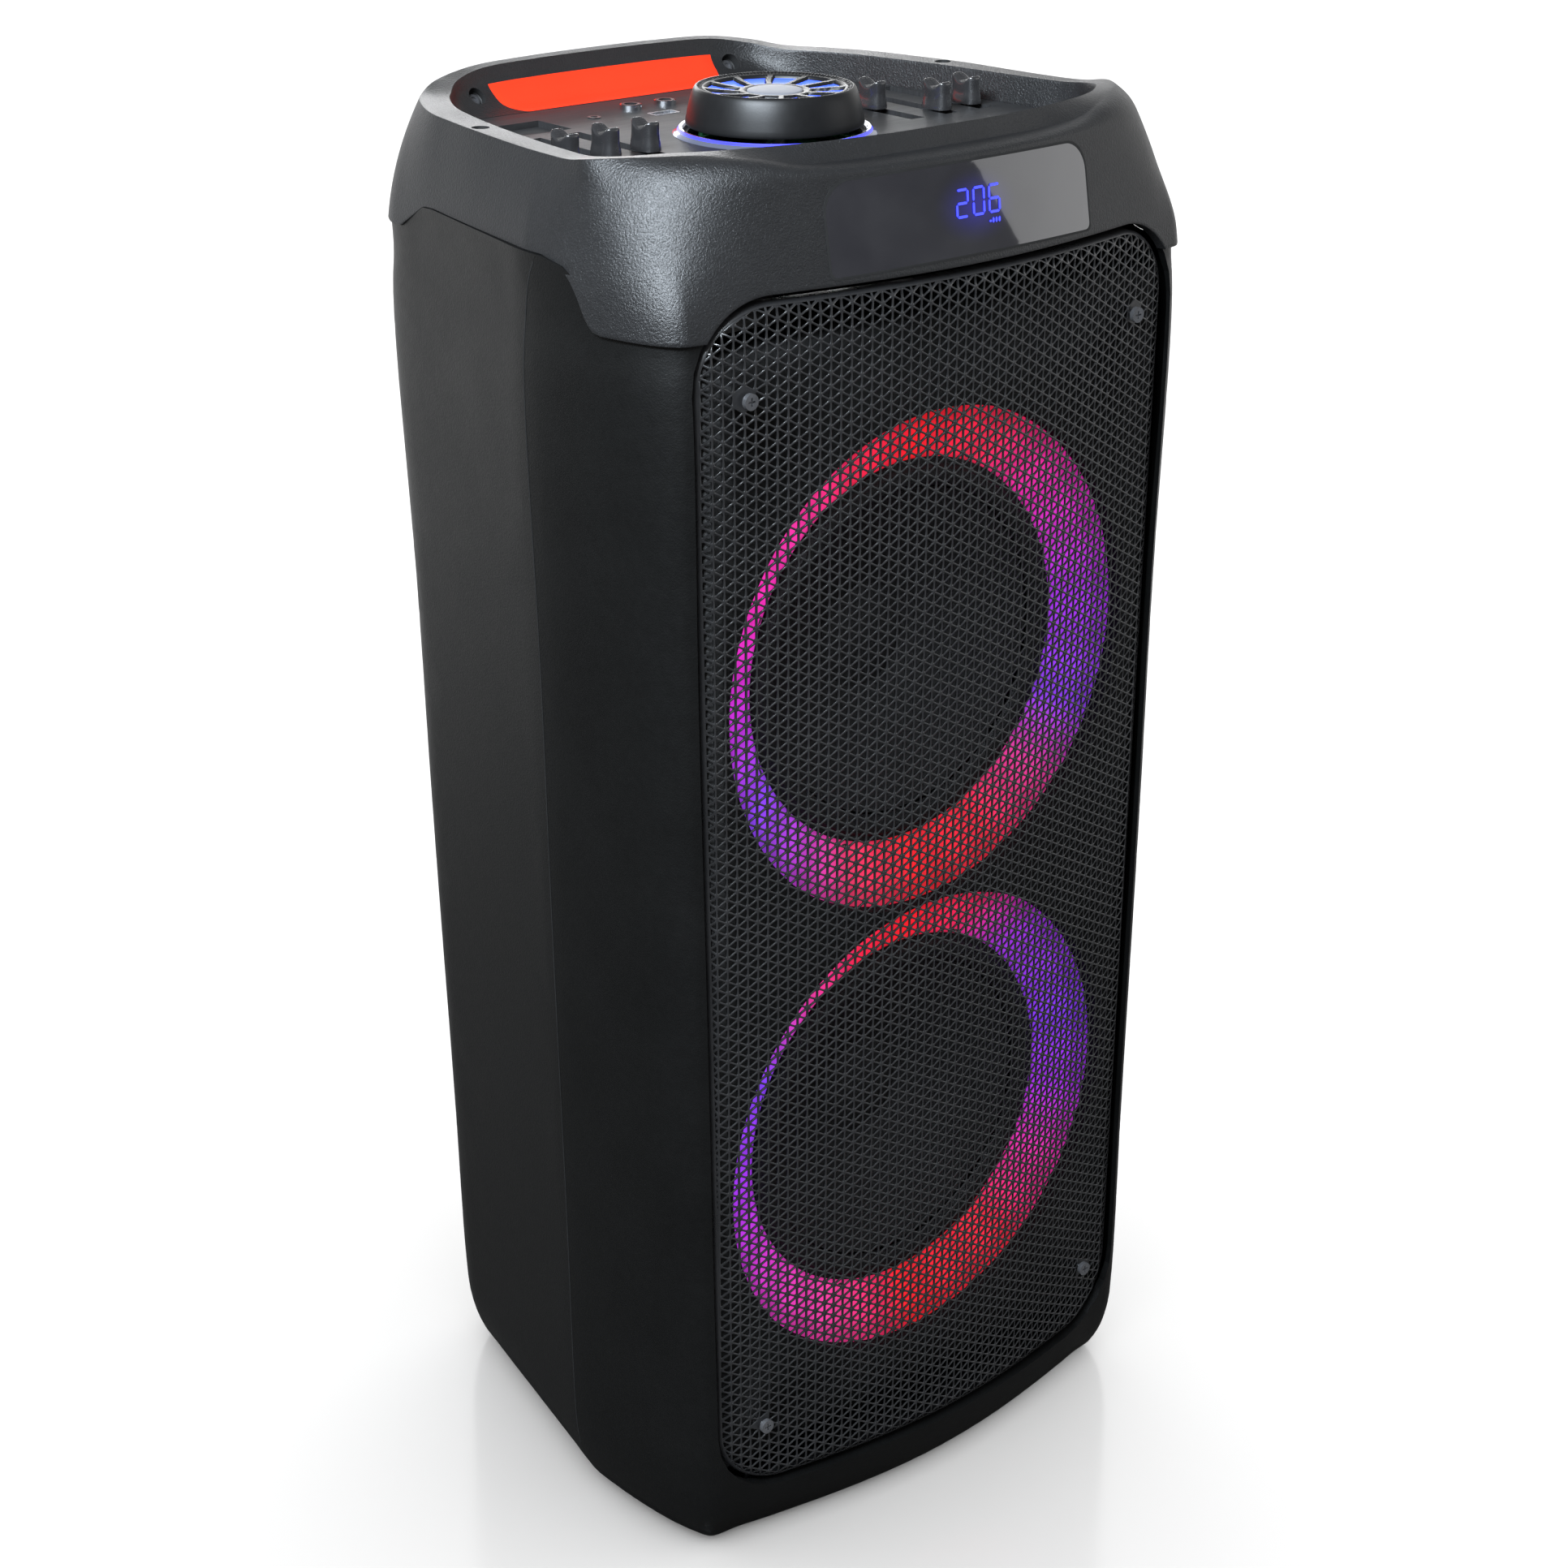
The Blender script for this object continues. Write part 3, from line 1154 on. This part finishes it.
# bevelled ring round the dial; the band after the fourth point is lit
clear_bevel()
HALO_PROFILE = [(42.2, -0.2), (42.2, 1.6), (43.0, 2.5), (44.4, 2.7), (45.3, 1.5),
                (46.6, 0.9), (47.5, 0.1), (47.5, -0.2)]
make("halo_bezel", lathe(HALO_PROFILE, 360, center=(0, DIAL_Y, 667.1)),
     "halo_blue clear_bevel", "case", "halo_ring", sharp_angle=35,
     face_finish=np.repeat([1, 1, 1, 0, 1, 1, 1, 1], 360))

# ================================================================ faders
FADER_PLACES = [(-118, 0.0), (-96, 0.0), (-74, 0.0), (74, 15.0), (96, -7.0), (118, -4.0)]
FADER_Z = 667.8
FADER_HALF_X, FADER_HALF_Y = 5.2, 8.2
FADER_SEGMENTS = 72
# y, height along the middle of the cap
FADER_RIDGE = [
    (-8.2, 10.9), (-7.7, 12.3), (-6.9, 13.1), (-6.0, 13.1), (-4.6, 12.1), (-3.0, 10.9),
    (-1.4, 10.35), (0.2, 10.3), (1.8, 10.75), (3.6, 11.9), (5.2, 13.0), (6.3, 13.55),
    (7.1, 13.4), (7.8, 12.5), (8.2, 11.3)]
# shares by which the top's rings shrink, and where its rounded edge ends
FADER_TOP = [0.985, 0.955, 0.915, 0.86, 0.79, 0.72, 0.64, 0.56, 0.48, 0.40, 0.32, 0.24,
             0.16, 0.08]
FADER_ROUND = 0.86


def fader_crown(x, y):
    """Height of the saddle top, with ribs across the finger slope."""
    height = np.interp(y, *np.transpose(FADER_RIDGE)) - 0.55 * abs(x / FADER_HALF_X) ** 3
    ribbed = (smoothstep(y, 1.0, 1.8) * (1 - smoothstep(y, 5.6, 6.2))
              * (1 - smoothstep(abs(x), 2.6, 3.5)))
    return height + 0.26 * ribbed * np.cos(2 * math.pi * (y - 1.2) / 1.2)


def fader_section(t):
    """X and y round the flared wall, t from foot (0) to top (1)."""
    half_x = FADER_HALF_X * (1 - 0.17 * smoothstep(t, 0.0, 0.62) + 0.03 * t)
    half_y = FADER_HALF_Y * (1 - 0.10 * smoothstep(t, 0.0, 0.7))
    angles = 2 * math.pi * np.arange(FADER_SEGMENTS) / FADER_SEGMENTS
    power = 2.7
    cos, sin = np.cos(angles), np.sin(angles)
    radius = (abs(cos) ** power + abs(sin) ** power) ** (-1 / power)
    return half_x * radius * cos, half_y * radius * sin


def fader_cap():
    wall_top = fader_crown(*fader_section(1.0)) - 0.95
    rings = [np.stack([*fader_section(k / 15), wall_top * (k / 15)], 1) for k in range(16)]
    base = rings[-1]
    for share in FADER_TOP:
        ring = base * (share, share, 1)
        past = max(share - FADER_ROUND, 0.0) / (1 - FADER_ROUND)
        crowned = math.sqrt(max(0.0, 1 - past ** 2))
        ring[:, 2] = (base[:, 2] * (1 - crowned)
                      + fader_crown(ring[:, 0], ring[:, 1]) * crowned)
        rings.append(ring)
    tip = len(rings) * FADER_SEGMENTS
    last = tip - FADER_SEGMENTS
    faces = grid_faces(len(rings), FADER_SEGMENTS, wrap_rows=False)
    faces += [(last + c, last + (c + 1) % FADER_SEGMENTS, tip) for c in range(FADER_SEGMENTS)]
    faces.append(tuple(range(FADER_SEGMENTS))[::-1])
    return np.concatenate(rings + [[(0, 0, float(fader_crown(0.0, 0.0)))]]), faces


def fader_stem():
    verts = [(x, y, z) for z in (-10.8, 1.0) for x, y in ((-1, -2), (1, -2), (1, 2), (-1, 2))]
    return verts, [(0, 3, 2, 1), (4, 5, 6, 7), (0, 1, 5, 4), (1, 2, 6, 5), (2, 3, 7, 6),
                   (3, 0, 4, 7)]


fader_verts, fader_faces = join([fader_cap(), fader_stem()])
for k, (x, y) in enumerate(FADER_PLACES, 1):
    make("fader_knob_%d" % k, (fader_verts + np.array([x, y, FADER_Z]), fader_faces),
         "fader_black", "fader_%d" % k, "fader_cap_%d" % k, sharp_angle=42)

# ================================================================ display
SCREEN_PROUD = 2.05                  # screen surface in front of the bow
DIGIT_WIDTH, DIGIT_HEIGHT, DIGIT_Z = 6.2, 11.4, 650.8
DIGIT_SLANT = 0.07
DIGITS = [("2", -9.6), ("0", 0.0), ("6", 9.4)]   # digit, x of its lower left corner
DIGIT_SEGMENTS = {"0": "abcdef", "2": "abged", "6": "afgedc"}
# start and end of a segment, in digit widths and heights
SEGMENT_ENDS = {
    "a": ((0, 1), (1, 1)), "b": ((1, 1), (1, 0.5)), "c": ((1, 0.5), (1, 0)),
    "d": ((0, 0), (1, 0)), "e": ((0, 0), (0, 0.5)), "f": ((0, 0.5), (0, 1)),
    "g": ((0, 0.5), (1, 0.5))}
SEGMENT_GAP = 0.25


def on_screen(x, z, out):
    """Point on the leaning display: z is the height before leaning, out is how proud."""
    y = front_bow(x) - SCREEN_PROUD - out - FRONT_Y
    up = z - SEAM_FRONT_Z
    return (x, FRONT_Y + y * math.cos(LEAN) + up * math.sin(LEAN),
            SEAM_FRONT_Z + up * math.cos(LEAN) - y * math.sin(LEAN))


def bar(start, end, width, out=0.40, thickness=0.12):
    """Hexagonal lit segment between two points of the screen."""
    (x1, z1), (x2, z2) = start, end
    length = math.hypot(x2 - x1, z2 - z1)
    half = width / 2
    along_x, along_z = (x2 - x1) / length * half, (z2 - z1) / length * half
    points = [(x1, z1), (x1 + along_x - along_z, z1 + along_z + along_x),
              (x2 - along_x - along_z, z2 - along_z + along_x), (x2, z2),
              (x2 - along_x + along_z, z2 - along_z - along_x),
              (x1 + along_x + along_z, z1 + along_z - along_x)]
    verts = [on_screen(x, z, level) for level in (out, out - thickness) for x, z in points]
    faces = [(0, 1, 2, 3, 4, 5), (11, 10, 9, 8, 7, 6)]
    faces += [(k, 6 + k, 6 + (k + 1) % 6, (k + 1) % 6) for k in range(6)]
    return verts, faces


def digit_bars(digit, left):
    bars = []
    for segment in DIGIT_SEGMENTS[digit]:
        start, end = (np.array(p) * (DIGIT_WIDTH, DIGIT_HEIGHT) for p in SEGMENT_ENDS[segment])
        gap = np.sign(end - start) * SEGMENT_GAP
        ends = [(left + x + z * DIGIT_SLANT, DIGIT_Z + z)
                for x, z in (start + gap, end - gap)]
        bars.append(bar(*ends, width=1.15))
    return bars


def display_shape():
    """Three digits over three short strokes and a dash."""
    bars = []
    for digit, left in DIGITS:
        bars += digit_bars(digit, left)
    bars += [bar((11.0 + 1.9 * k, 646.0), (11.3 + 1.9 * k, 648.4), width=1.1)
             for k in range(3)]
    return join(bars + [bar((8.6, 647.0), (10.2, 647.0), width=0.9)])


def screen_outline(grow):
    half_width, low, high = 76.5 + grow, 634.4 - grow, 673.8 + grow
    low_radius, high_radius = 3.0, 13.0
    return rounded_outline(
        [(half_width - low_radius, low + low_radius, low_radius, -90),
         (half_width - high_radius, high - high_radius, high_radius, 0)],
        arc_steps=12, count=400)


def shadow_gap_shape():
    """Thin dark line round the display."""
    inner, outer = screen_outline(-0.15), screen_outline(0.85)
    return tube([np.array([on_screen(x, z, out) for x, z in outline]) for outline, out in
                 ((inner, 0.05), (outer, 0.0), (outer, -0.8), (inner, -0.8))])


glow("digit_blue", color=(0.038, 0.05, 1.0), strength=1.5, var=0.08, scale=400.0)
make("display_digits", display_shape(), "digit_blue", "case", smooth=False)
make("display_shadow_gap", shadow_gap_shape(), "gap_dark", "case",
     smooth=False)

# ================================================================ case seam
# y, z up the line where the front bezel meets the rear cabinet
SEAM_PATH = [(-30.0, z) for z in np.arange(24.0, 600.0, 6.0)]
SEAM_PATH += [(-30.0, 600.0), (-30.5, 610.0), (-31.6, 618.0), (-33.6, 626.0),
              (-36.4, 632.5), (-39.6, 637.5), (-44.0, 643.0)]
SEAM_HALF, SEAM_PROUD, SEAM_DEPTH = 0.32, 0.06, 0.6


def case_surface_x(side, y, z):
    """X of the outermost case surface on one side, or None where there is none."""
    found = []
    for name in ("front_bezel", "rear_cabinet"):
        if name not in NODES:
            continue
        host = NODES[name]
        inverse = host.matrix_world.inverted()
        origin = inverse @ Vector((side * 0.4, y * MM, z * MM))
        direction = (inverse.to_3x3() @ Vector((-side, 0, 0))).normalized()
        hit, place, _, _ = host.ray_cast(origin, direction)
        if hit:
            found.append((host.matrix_world @ place).x / MM)
    return max(found, key=lambda x: side * x) if found else None


def beside_seam_x(side, y, z, step):
    """Case surface just beyond the seam; a little further off if the first ray misses."""
    for reach in (0.9, 2.0):
        x = case_surface_x(side, y + math.copysign(reach, step), z)
        if x is not None:
            return x
    return None


def seam_strip(side):
    verts = []
    for y, z in SEAM_PATH:
        found = [beside_seam_x(side, y, z, step) for step in (-1, 1)]
        if None in found:
            continue
        x = side * (max(side * f for f in found) + SEAM_PROUD)
        inner_x = x - side * SEAM_DEPTH
        front_y, rear_y = y - SEAM_HALF, y + SEAM_HALF
        verts += [(x, front_y, z), (x, rear_y, z), (inner_x, rear_y, z), (inner_x, front_y, z)]
    last = len(verts) - 4
    faces = grid_faces(len(verts) // 4, 4, wrap_rows=False)
    return verts, faces + [(0, 1, 2, 3), (last + 3, last + 2, last + 1, last)]


make("case_seam_line", join([seam_strip(-1), seam_strip(1)]), "gap_dark", "case",
     smooth=False)


# ================================================================ floor
def floor_finish(name):
    """Pale and slightly glossy; seen in reflections it darkens towards the camera."""
    n, bsdf = new_finish(name)
    n.tree.nodes.remove(bsdf)
    output = [node for node in n.tree.nodes if node.type == "OUTPUT_MATERIAL"][0]
    vector = n.coords()
    away = n.rearward(n.axes(vector))
    mottle = n.noise(vector, scale=3.0, detail=3.0)
    greys = [(0.0, 0.03), (0.45, 0.06), (0.60, 0.12), (0.9, 0.7)]
    tone = n.ramp(n.remap(away, span=(-1.2, 1.6), to=(0.0, 1.0)),
                  [(position, (grey,) * 3) for position, grey in greys])
    separate = n.add("ShaderNodeSeparateColor")
    n.link(tone, separate.inputs[0])
    glossy_ray = n.add("ShaderNodeLightPath").outputs["Is Glossy Ray"]
    factor = n.plus(n.times(glossy_ray, separate.outputs[0]),
                    n.math("SUBTRACT", 1.0, glossy_ray))
    level = n.times(n.remap(mottle, to=(0.82, 0.84)), factor)
    combine = n.add("ShaderNodeCombineColor")
    for k in range(3):
        n.link(level, combine.inputs[k])
    diffuse = n.add("ShaderNodeBsdfDiffuse")
    n.link(combine.outputs[0], diffuse.inputs["Color"])
    glossy = n.add("ShaderNodeBsdfGlossy")
    preset(glossy, color=(1, 1, 1, 1), roughness=0.14)
    mix = n.add("ShaderNodeMixShader")
    n.link(n.remap(mottle, to=(0.17, 0.19)), mix.inputs["Fac"])
    n.link(diffuse.outputs[0], mix.inputs[1])
    n.link(glossy.outputs[0], mix.inputs[2])
    n.link(mix.outputs[0], output.inputs["Surface"])


floor_finish("floor_pale")
bpy.ops.mesh.primitive_plane_add(size=30.0, location=(0, 0, -0.0002))
floor = bpy.context.object
floor.name = "floor"
floor.data.materials.append(FINISH["floor_pale"])


# ================================================================ world
def studio_world():
    """White to the camera, bright for diffuse light, dim in reflections but for a
    bright window low behind the speaker."""
    world = bpy.data.worlds.new("studio")
    bpy.context.scene.world = world
    world.use_nodes = True
    world.node_tree.nodes.clear()
    n = Nodes(world.node_tree)
    output = n.add("ShaderNodeOutputWorld")
    background = n.add("ShaderNodeBackground")
    ray = n.add("ShaderNodeLightPath").outputs
    axes = n.axes(n.add("ShaderNodeTexCoord").outputs["Generated"])
    window = n.times(n.remap(n.rearward(axes), span=(0.55, 0.80), to=(0.0, 1.0)),
                     n.remap(axes["Z"], span=(0.50, 0.72), to=(1.0, 0.0)))
    window_strength, diffuse_level, camera_level = 0.85, 1.60, 1.0
    reflected = n.plus(n.remap(axes["Z"], span=(-0.1, 0.9), to=(0.24, 0.13)),
                       n.times(window, window_strength))
    unseen = n.choose(ray["Is Glossy Ray"], reflected, diffuse_level)
    level = n.choose(ray["Is Camera Ray"], camera_level, unseen)
    background.inputs["Color"].default_value = (1.0, 1.0, 1.0, 1)
    n.link(level, background.inputs["Strength"])
    n.link(background.outputs[0], output.inputs[0])


studio_world()


# ================================================================ lamps and camera
def area_lamp(name, place, target, size, power, color, roll=0.0):
    light = bpy.data.lights.new(name, "AREA")
    light.shape = "RECTANGLE"
    light.size, light.size_y = size
    light.energy = power
    light.color = color
    lamp = bpy.data.objects.new(name, light)
    lamp.location = place
    aim = (Vector(target) - Vector(place)).to_track_quat("-Z", "Y").to_matrix()
    lamp.rotation_euler = (aim @ Matrix.Rotation(math.radians(roll), 3, "Z")).to_euler()
    bpy.context.scene.collection.objects.link(lamp)
    return lamp


lamps = [
    area_lamp("key_soft", place=(-1.50, -0.72, 1.80), target=(-0.1, -0.1, 0.6),
              size=(1.25, 0.42), power=150.0, color=(0.82, 0.91, 1.0)),
    area_lamp("strip_right", place=(2.27, -1.67, 1.12), target=(0, -0.14, 0.655),
              size=(1.8, 1.0), power=7.5, color=(1, 1, 1), roll=-24.0),
    area_lamp("top_back", place=(1.0, 1.95, 1.12), target=(0, 0, 0.68),
              size=(1.3, 0.4), power=12.0, color=(0.98, 0.99, 1.0))]
# the lamps light the speaker, not the floor
unlit = bpy.data.collections.new("not_lit_by_lamps")
unlit.objects.link(floor)
for member in unlit.collection_objects:
    member.light_linking.link_state = "EXCLUDE"
for lamp in lamps:
    lamp.light_linking.receiver_collection = unlit

scene = bpy.context.scene
scene.view_settings.view_transform = "Standard"
scene.view_settings.look = "None"

camera_data = bpy.data.cameras.new("camera")
camera = link_object("camera", camera_data)
camera.location = (-0.8536, -1.0321, 0.9154)
camera.rotation_euler = Vector((0.5880, 0.7056, -0.3955)).to_track_quat("-Z", "Y").to_euler()
camera_data.lens = 66.0
camera_data.sensor_width = 36.0
camera_data.sensor_height = 36.0
camera_data.clip_end = 50.0
scene.camera = camera
